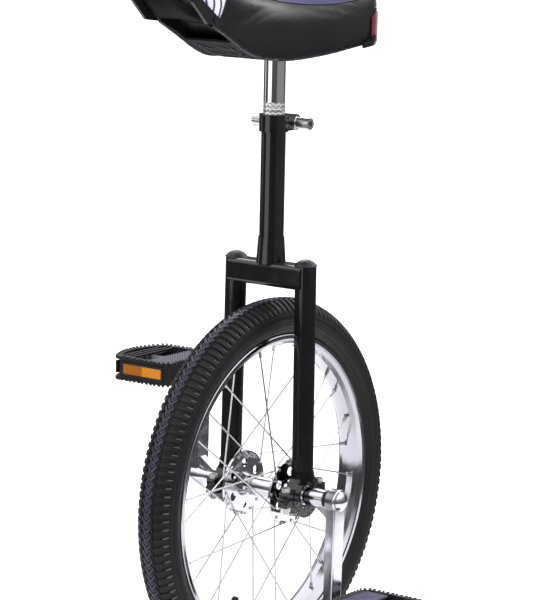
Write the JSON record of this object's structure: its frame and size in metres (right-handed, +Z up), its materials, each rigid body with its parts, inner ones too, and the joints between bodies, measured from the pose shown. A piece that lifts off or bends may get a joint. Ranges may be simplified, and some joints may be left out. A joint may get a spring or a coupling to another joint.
{
  "type": "unicycle",
  "caption": "Unicycle with a spoked pneumatic wheel, hub-driven cranks and pedals, tubular fork and a height-adjustable curved saddle with a lift handle.",
  "frame": {"origin": "the point where the tyre meets the ground, straight under the hub", "axes": "+X forwards, the way the saddle's lift handle points; +Y to the rider's left; +Z up along the seat post"},
  "size_m": [0.477, 0.417, 0.8645],
  "materials": {
    "tyre_rubber": "moulded rubber tread and smooth sidewall",
    "butyl_rubber": "smooth",
    "rim_chrome": "bright plated steel",
    "hub_chrome": "bright plated steel",
    "crank_chrome": "satin to bright plated steel",
    "post_chrome": "polished",
    "spoke_steel": "drawn wire",
    "bearing_steel": "ground",
    "fastener_zinc": "zinc plated",
    "brass": "plain",
    "frame_black": "gloss black enamel",
    "moulded_black": "fine moulded grain",
    "bumper_black": "gloss moulded",
    "bumper_red": "gloss moulded",
    "reflector_amber": "prismatic lens",
    "saddle_cover": "soft black vinyl with woven top panels"
  },
  "bodies": {
    "frame": {"neck_tube": "frame_black", "fork_crown": "frame_black", "left_fork_leg": "frame_black", "right_fork_leg": "frame_black", "leg_end_caps": "moulded_black", "left_bearing_holder": "frame_black", "right_bearing_holder": "frame_black", "left_bearing_cap": "frame_black", "right_bearing_cap": "frame_black", "bearing_cap_bolts": "fastener_zinc", "bearing_cap_nuts": "fastener_zinc", "bearing_outer_rings": "bearing_steel", "bearing_seals": "moulded_black", "seat_collar": "frame_black", "collar_bolt": "fastener_zinc", "collar_nut": "fastener_zinc", "collar_washers": "fastener_zinc"},
    "seat": {"seat_post": "post_chrome", "post_plate": "frame_black", "saddle_base": "moulded_black", "saddle_studs": "fastener_zinc", "saddle_nuts": "fastener_zinc", "saddle_cushion": "saddle_cover", "front_bumper": "bumper_black", "rear_bumper": "bumper_black", "rear_bumper_insert": "bumper_red", "bumper_screws": "bumper_black"},
    "left_ball_set": {"left_bearing_balls": "bearing_steel", "left_bearing_cage": "bearing_steel"},
    "right_ball_set": {"right_bearing_balls": "bearing_steel", "right_bearing_cage": "bearing_steel"},
    "left_pedal": {"left_pedal_body": "moulded_black", "left_pedal_bushes": "brass", "left_pedal_reflectors": "reflector_amber", "left_pedal_cap": "moulded_black"},
    "right_pedal": {"right_pedal_body": "moulded_black", "right_pedal_bushes": "brass", "right_pedal_reflectors": "reflector_amber", "right_pedal_cap": "moulded_black"},
    "wheel": {"axle": "bearing_steel", "bearing_inner_rings": "bearing_steel", "crank_bolts": "fastener_zinc", "crank_dust_caps": "crank_chrome", "hub_shell": "hub_chrome", "inner_tube": "butyl_rubber", "left_crank": "crank_chrome", "left_pedal_spindle": "bearing_steel", "left_spokes": "spoke_steel", "nipples": "spoke_steel", "pedal_spindle_nuts": "fastener_zinc", "right_crank": "crank_chrome", "right_pedal_spindle": "bearing_steel", "right_spokes": "spoke_steel", "rim": "rim_chrome", "rim_joint_sleeve": "bearing_steel", "rim_tape": "butyl_rubber", "tyre": "tyre_rubber", "valve": "brass", "valve_cap": "butyl_rubber"}
  },
  "joints": [
    {"name": "wheel_spin", "type": "hinge", "parent": "frame", "child": "wheel", "pos_m": [0, 0, 0.226], "axis": [0, 1, 0], "continuous": true},
    {"name": "left_pedal_spin", "type": "hinge", "parent": "wheel", "child": "left_pedal", "pos_m": [0.00262, 0.15, 0.10103], "axis": [0, 1, 0], "continuous": true},
    {"name": "right_pedal_spin", "type": "hinge", "parent": "wheel", "child": "right_pedal", "pos_m": [-0.00262, -0.15, 0.35097], "axis": [0, 1, 0], "continuous": true},
    {"name": "seat_height", "type": "slide", "parent": "frame", "child": "seat", "axis": [0, 0, 1], "range_m": [-0.05, 0.045]},
    {"name": "left_bearing_roll", "type": "hinge", "parent": "frame", "child": "left_ball_set", "pos_m": [0, 0.0524, 0.226], "axis": [0, 1, 0], "continuous": true},
    {"name": "right_bearing_roll", "type": "hinge", "parent": "frame", "child": "right_ball_set", "pos_m": [0, -0.0524, 0.226], "axis": [0, 1, 0], "continuous": true}
  ],
  "couplings": [
    {"joint": "left_bearing_roll", "follows": "wheel_spin", "ratio": 0.4085},
    {"joint": "right_bearing_roll", "follows": "wheel_spin", "ratio": 0.4085}
  ]
}
